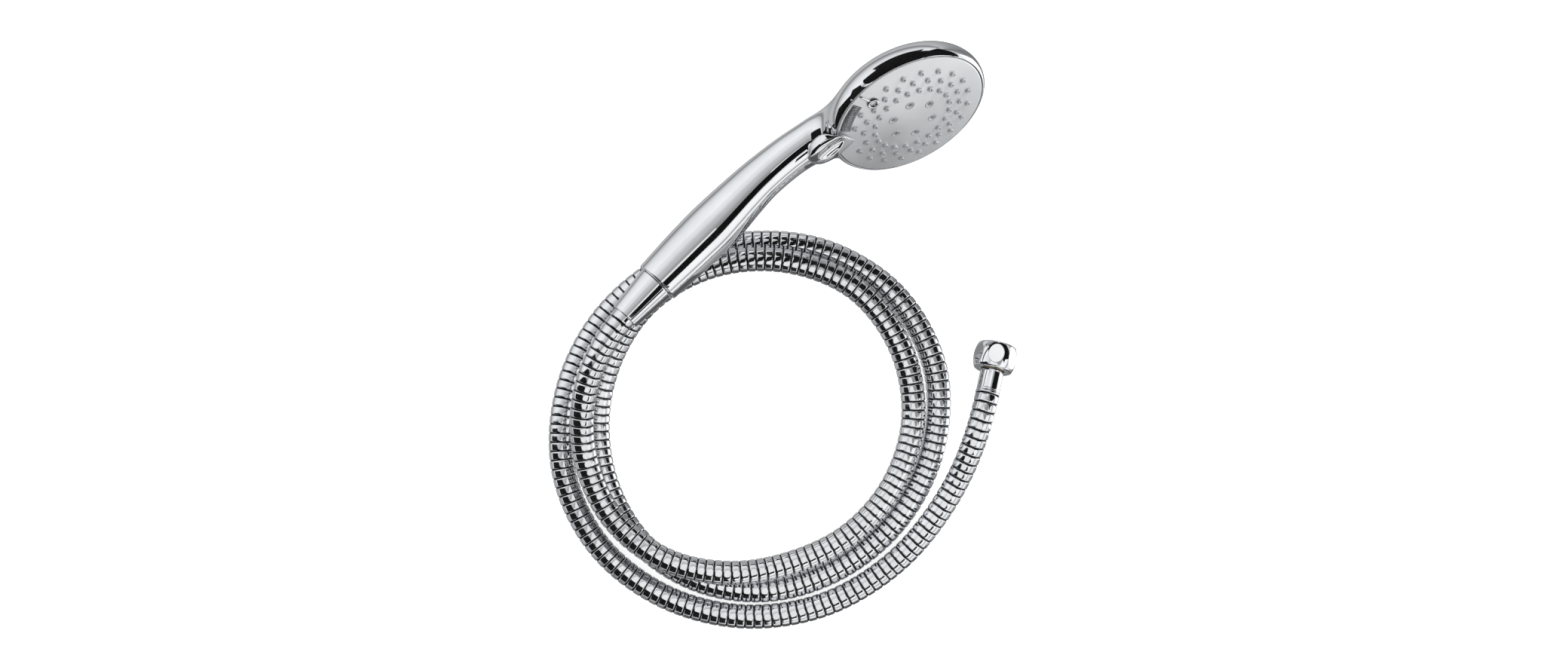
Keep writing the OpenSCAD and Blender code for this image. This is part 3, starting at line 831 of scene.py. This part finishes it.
def bar(along_r, angle, length, width, low, high):
    """Points and quads of one rib: a bar with a rounded top lying along a radius."""
    steps = 7
    turns = np.linspace(-math.pi / 2, math.pi / 2, steps)
    top = [(width / 2 * math.sin(t), high - width / 2 * (1 - math.cos(t))) for t in turns]
    arc = [(-width / 2, low)] + top + [(width / 2, low)]
    points = []
    for r in (along_r, along_r + 0.25, along_r + length - 0.25, along_r + length):
        inset = 0.72 if r in (along_r, along_r + length) else 1.0
        for x, z in arc:
            p = polar(r, angle)
            side = polar(1, angle + 90)
            points.append((p[0] + side[0] * x * inset, p[1] + side[1] * x * inset, low + (z - low) * inset))
    n = len(arc)
    faces = grid_faces(4, n, 0, closed=False) + [tuple(range(n)), tuple(range(3 * n, 4 * n))[::-1]]
    return points, faces


def make_comb():
    """Thin bright ribs across the sunk arc, over a dark floor."""
    points, faces = [], []
    for angle in np.linspace(COMB_FROM + 1.4, COMB_TO - 1.4, RIBS):
        p, f = bar(COMB_IN + 0.15, angle, RIB_LENGTH, RIB_WIDTH, RIB_FOOT, RIB_TOP)
        faces += [tuple(len(points) + i for i in q) for q in f]
        points += p
    comb = add_mesh("comb_ribs", points, faces, plating, "selector", face)
    mark_sharp(comb, 55)
    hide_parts("grip_comb")
    angles = np.linspace(COMB_FROM, COMB_TO, COMB_STEPS)
    rows = [(*polar(r, a), COMB_BED) for r in np.linspace(COMB_IN, COMB_OUT, 4) for a in angles]
    bed = add_mesh("comb_bed", rows, grid_faces(4, COMB_STEPS, closed=False), seal_rubber, "selector", face)


def make_pointer():
    """A raised ring that leans with the skin, with a tapered stem to the edge."""
    lean = math.asin(POINTER_R / DOME_R)
    turn = turn_z(math.radians(POINTER_ANGLE)) @ turn_y(lean)
    place = face.inner(turn, turn @ np.array([0, 0, DOME_R]) + np.array([0, 0, FACE_RISE - DOME_R]))
    ring = [(1.7, -0.4), (1.75, 0.5), (2.0, 1.05), (2.5, 1.35), (3.1, 1.3), (3.55, 0.95), (3.8, 0.3),
            (3.85, -0.4)]
    parts = [add_mesh("pointer_ring", *lathe_data(ring, 64), plating, "selector", place)]
    points = []
    for x, w, h in ((3.4, 0.95, 0.8), (5, 0.75, 0.75), (8, 0.6, 0.6), (10.4, 0.5, 0.45), (10.7, 0.3, 0.2)):
        section = [(-w, -0.3), (-w, h * 0.6), (-w * 0.5, h), (w * 0.5, h), (w, h * 0.6), (w, -0.3)]
        points += [(x, y, z) for y, z in section]
    faces = grid_faces(5, 6, 0, closed=False) + [tuple(range(6)), tuple(range(24, 30))[::-1]]
    parts.append(add_mesh("pointer_stem", points, faces, plating, "selector", place))
    mark_sharp(parts[1], 40)
    pointer = merge("pointer", parts)
    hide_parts("mode_pointer")


# Distance from the face's middle, far side, near side, top, underside
LEVER_SHAPE = [(35.4, -0.2, 0.9, 2.5, 1.7), (38, -3.4, 2.6, 2.8, 1.3), (41, -7.2, 4.6, 3.1, 0.95),
               (44, -9.6, 6.6, 3.4, 0.6), (47, -10.4, 8.4, 3.6, 0.5), (50, -10.4, 9.8, 3.6, -2.9),
               (53, -9.8, 10.8, 3.4, -4.6), (57, -7.8, 10.9, 2.9, -4.9), (60.5, -4.4, 9.2, 2.1, -4.0),
               (62.6, -1.0, 6.6, 1.2, -2.6), (63.8, 1.6, 3.4, 0.2, -1.0)]


LEVER_FROM, LEVER_TO, LEVER_SQUARE = 35.3, 63.9, 4
SCOOP_AT, SCOOP_RADII = np.array([50.5, -1.6, 8.6]), np.array([15.0, 7.6, 7.2])
SCOOP_TURN = math.radians(32)


def scoop_field(p):
    """Negative inside the egg-shaped scoop, whose long axis runs beside the near ridge."""
    q = (p - SCOOP_AT) @ turn_z(SCOOP_TURN)
    return (np.sqrt(((q / SCOOP_RADII) ** 2).sum(1)) - 1) * min(SCOOP_RADII)


def lever_field(p):
    """A pointed wedge that widens into a tab, scooped out beside a ridge on its near side."""
    s = eased(p[:, 0], LEVER_SHAPE)
    centre, wide = (s[:, 0] + s[:, 1]) / 2, np.maximum((s[:, 1] - s[:, 0]) / 2, 0.15)
    middle, half = (s[:, 2] + s[:, 3]) / 2, np.maximum((s[:, 2] - s[:, 3]) / 2, 0.15)
    across = np.abs((p[:, 1] - centre) / wide) ** LEVER_SQUARE
    upright = np.abs((p[:, 2] - middle) / half) ** LEVER_SQUARE
    body = ((across + upright) ** (1 / LEVER_SQUARE) - 1) * np.minimum(wide, half)
    body = np.maximum(body, np.maximum(LEVER_FROM - p[:, 0], p[:, 0] - LEVER_TO))
    return -smooth_union(-body, scoop_field(p), 0.35)


def make_lever():
    place = face.inner(turn_z(math.radians(LEVER_ANGLE)), (0, 0, 0))
    lever = field_object("thumb_lever", lever_field, (34.6, -11.4, -5.8), (64.6, 11.4, 4.6), 0.35, plating,
                         "selector", place)
    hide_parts("selector_lever")


# ---------------------------------------------------------------- nuts and fittings


def make_cone_nut():
    outer = [(9.4, 0.6), (10.9, 0.6), (11.25, 0.95), (11.3, 1.5), (11.2, 2.0), (8.75, 26.3), (8.6, 26.8),
             (8.3, 27.0), (7.5, 27.0), (7.4, 26.6), (7.4, 12.6), (9.3, 12.6)]
    threads = [(9.3 + 0.45 * (k % 2), 12.0 - 0.9 * k) for k in range(13)]
    cone = lathe("cone_nut_body", outer + threads, metal, "handset_nut", below, sides=160, radius=0.25)
    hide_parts("cone_nut")


HEX_FLATS, NUT_HALF, NUT_BARREL, NUT_SAG = 23.0, 7.5, 12.4, 1.6
THREAD_PITCH = 1.81


def hex_radius(angle, z):
    turn = (math.degrees(angle) + 30) % 60 - 30
    flat = HEX_FLATS / 2 / math.cos(math.radians(turn))
    barrel = NUT_BARREL - NUT_SAG * (z / NUT_HALF) ** 2
    soft = 0.10
    h = min(max(0.5 + 0.5 * (barrel - flat) / soft, 0), 1)
    return barrel + (flat - barrel) * h - soft * h * (1 - h)


def make_hex_nut():
    """Barrelled hexagon with oval flats, softened ends and a threaded mouth."""
    sides = 288
    rows = []
    for z, inset in ([(-NUT_HALF, 0.9), (-NUT_HALF + 0.08, 0.45), (-NUT_HALF + 0.35, 0.12)]
                     + [(z, 0.0) for z in np.linspace(-NUT_HALF + 0.9, NUT_HALF - 0.9, 40)]
                     + [(NUT_HALF - 0.35, 0.12), (NUT_HALF - 0.08, 0.45), (NUT_HALF, 0.9)]):
        rows.append([(hex_radius(2 * math.pi * k / sides, z) - inset, z) for k in range(sides)])
    back = [[(7.0, -4.9)] * sides, [(7.0, -7.2)] * sides, [(7.2, -NUT_HALF)] * sides]
    mouth = [[(9.95, NUT_HALF)] * sides, [(9.7, NUT_HALF - 0.4)] * sides]
    for z in np.arange(NUT_HALF - 0.6, -0.7, -0.25):
        thread = [2 * math.pi * (z / THREAD_PITCH + k / sides) for k in range(sides)]
        mouth.append([(9.5 + 0.33 * math.sin(t), z) for t in thread])
    mouth += [[(9.6, -0.9)] * sides, [(9.6, -4.9)] * sides, [(7.0, -4.9)] * sides]
    points = []
    for row in back + rows + mouth:
        for k, (r, z) in enumerate(row):
            a = 2 * math.pi * k / sides
            points.append((r * math.cos(a), r * math.sin(a), z))
    faces = grid_faces(len(back) + len(rows) + len(mouth), sides)
    obj = add_mesh("hexagon_nut", points, faces, metal, "supply_nut", nut)
    mark_sharp(obj, 42)
    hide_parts("hex_nut")
    return obj


def make_ferrule():
    profile = [(5.2, -22.2), (6.75, -22.25), (7.05, -22.0), (7.1, -21.4), (7.05, -20.9), (6.8, -20.6),
               (6.78, -20.0), (6.86, -19.6), (6.8, -19.2), (6.8, -9.2), (6.6, -8.4), (6.2, -8.05),
               (5.15, -8.0)]
    sleeve = lathe("crimp_sleeve", profile, metal, "handset", nut, sides=96, radius=0.12)
    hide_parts("hose_ferrule")
    return sleeve


# ---------------------------------------------------------------- camera, light and floor

VIEW_CENTRE = np.array([-73.4, -44.2, 20.0])
VIEW_WIDTH = 894.4
VIEW_ROLL = math.radians(46.7)
CAMERA_HEIGHT = 6000.0


def make_camera():
    """Straight above, with a long lens, rolled so that the handle points up to the right."""
    data = bpy.data.cameras.new("camera")
    data.sensor_width = 36
    data.lens = 36 * CAMERA_HEIGHT / VIEW_WIDTH
    data.clip_start, data.clip_end = 0.1, 50
    cam = bpy.data.objects.new("camera", data)
    cam.location = Vector(VIEW_CENTRE * MM) + Vector((0, 0, CAMERA_HEIGHT * MM))
    cam.rotation_euler = (0, 0, -VIEW_ROLL)
    bpy.context.collection.objects.link(cam)
    bpy.context.scene.camera = cam


def make_floor():
    mesh = bpy.data.meshes.new("floor")
    half, z = 4.0, -0.0003
    corners = [(-half, -half, z), (half, -half, z), (half, half, z), (-half, half, z)]
    mesh.from_pydata(corners, [], [(0, 1, 2, 3)])
    mesh.materials.append(studio_floor())
    floor = bpy.data.objects.new("floor", mesh)
    floor.visible_glossy = False
    bpy.context.collection.objects.link(floor)


def panel(name, corners, level):
    """A flat reflector seen only in the chrome: level 0 is black cloth, 1 is a lit white panel."""
    mesh = bpy.data.meshes.new(name)
    mesh.from_pydata([tuple(np.array(c, float) * MM) for c in corners], [], [(0, 1, 2, 3)])
    m = Nodes(name)
    m.set(Roughness=1.0, Specular_IOR_Level=0.0, Emission_Strength=1.0)
    cloth = m.noise(2.5, 2)
    m.link(m.blend(cloth, (0.004,) * 3, (0.008,) * 3), m.shader.inputs["Base Color"])
    m.link(m.blend(cloth, (level * 0.96,) * 3, (level * 1.04,) * 3), m.shader.inputs["Emission Color"])
    mesh.materials.append(m.mat)
    card = bpy.data.objects.new(name, mesh)
    card.visible_camera = card.visible_diffuse = card.visible_shadow = False
    bpy.context.collection.objects.link(card)


def flat_panel(name, xs, ys, height, level):
    (x0, x1), (y0, y1) = xs, ys
    panel(name, [(x0, y0, height), (x1, y0, height), (x1, y1, height), (x0, y1, height)], level)


def side_panel(name, xs, y, heights, level):
    (x0, x1), (h0, h1) = xs, heights
    panel(name, [(x0, y, h0), (x1, y, h0), (x1, y, h1), (x0, y, h1)], level)


def end_panel(name, x, ys, heights, level):
    (y0, y1), (h0, h1) = ys, heights
    panel(name, [(x, y0, h0), (x, y1, h0), (x, y1, h1), (x, y0, h1)], level)


# Brightness of the surround against the angle from straight up, positive towards +Y
SURROUND = [
    (-180, 0.22), (-150, 0.24), (-122, 0.34), (-104, 0.62), (-60, 0.85), (-22, 0.30), (-12, 0.34),
    (12, 0.58), (35, 0.88), (55, 1.03), (75, 0.97), (95, 0.85), (108, 0.62), (122, 0.27), (138, 0.55),
    (180, 0.30)]


def make_world():
    """Soft surround: brightest from the +Y side, dim straight up."""
    world = bpy.data.worlds.new("studio")
    world.use_nodes = True
    tree = world.node_tree

    def add(kind, **values):
        node = tree.nodes.new(kind)
        for key, value in values.items():
            setattr(node, key, value)
        return node

    split = add("ShaderNodeSeparateXYZ")
    tree.links.new(add("ShaderNodeTexCoord").outputs["Generated"], split.inputs[0])
    angle = add("ShaderNodeMath", operation="ARCTAN2")
    tree.links.new(split.outputs["Y"], angle.inputs[0])
    tree.links.new(split.outputs["Z"], angle.inputs[1])
    share = add("ShaderNodeMapRange")
    share.inputs["From Min"].default_value, share.inputs["From Max"].default_value = -math.pi, math.pi
    tree.links.new(angle.outputs[0], share.inputs["Value"])
    ramp = add("ShaderNodeValToRGB")
    ramp.color_ramp.interpolation = "EASE"
    tree.links.new(share.outputs["Result"], ramp.inputs[0])
    stops = ramp.color_ramp.elements
    while len(stops) < len(SURROUND):
        stops.new(0.5)
    for stop, (degrees, level) in zip(stops, SURROUND):
        stop.position = (degrees + 180) / 360
        stop.color = (level * 0.985, level * 0.995, level * 1.01, 1)
    tree.links.new(ramp.outputs[0], tree.nodes["Background"].inputs["Color"])
    bpy.context.scene.world = world


def soft_light(name, at, size, power):
    """Light for the floor and the matte pieces only: the chrome sees the panels instead."""
    data = bpy.data.lights.new(name, "AREA")
    data.shape = "RECTANGLE"
    data.size, data.size_y = size
    data.energy = power
    light = bpy.data.objects.new(name, data)
    light.location = Vector(at) * MM
    light.rotation_euler = (Vector(VIEW_CENTRE * MM) - light.location).to_track_quat("-Z", "Y").to_euler()
    light.visible_glossy = False
    bpy.context.collection.objects.link(light)


# Cards seen in the chrome. Level cards: name, x range, y range, height, brightness
LEVEL_CARDS = [
    ("black_over_handle", (-130, 24), (-25, 9), 92, 0.0),
    ("white_over_coil", (-420, 20), (-420, -50), 420, 0.95),
    ("black_frame_left", (-900, -420), (-900, 300), 420, 0.0),
    ("black_frame_far", (-420, -110), (-900, -420), 420, 0.0),
    ("black_frame_right", (250, 600), (-900, -210), 420, 0.0),
    ("white_over_nut", (155, 270), (-100, 50), 430, 1.0),
    ("black_near_head", (40, 330), (-90, -57), 140, 0.0),
    ("black_over_head", (28, 330), (-57, 120), 140, 0.0)]
# Upright cards along X: name, x range, y, height range, brightness
SIDE_CARDS = [
    ("black_behind_head", (85, 500), 190, (110, 200), 0.0),
    ("white_low", (-900, 900), -620, (235, 640), 1.08),
    ("dark_line", (-900, 900), -618, (112, 150), 0.12),
    ("white_ground", (-900, 900), -622, (-60, 110), 1.0),
    ("white_right_low", (160, 1200), -610, (-900, -60), 1.3),
    ("dim_ground", (-1400, -110), -560, (-900, -130), 0.10)]
# Upright cards along Y: name, x, y range, height range, brightness
END_CARDS = [
    ("black_over_neck", 20, (-57, 70), (98, 138), 0.0),
    ("black_head_end", 420, (-620, 60), (60, 420), 0.0),
    ("black_hose_end", -620, (-620, 500), (20, 1000), 0.0)]


def make_light():
    make_world()
    soft_light("overhead", (-73, -44, 1900), (3.2, 3.2), 10)
    soft_light("key", (1350, -480, 480), (0.5, 0.5), 20)
    for card in LEVEL_CARDS:
        flat_panel(*card)
    for card in SIDE_CARDS:
        side_panel(*card)
    for card in END_CARDS:
        end_panel(*card)


make_camera()
make_floor()
make_light()
dress_cad_nodes()
hose, hose_path, hose_length = make_hose()
ferrule = make_ferrule()
supply_nut = make_hex_nut()
make_shell()
make_end_collar()
make_face_plate()
make_nozzles()
make_comb()
make_pointer()
make_lever()
make_cone_nut()

bpy.context.scene.view_settings.view_transform = "Standard"
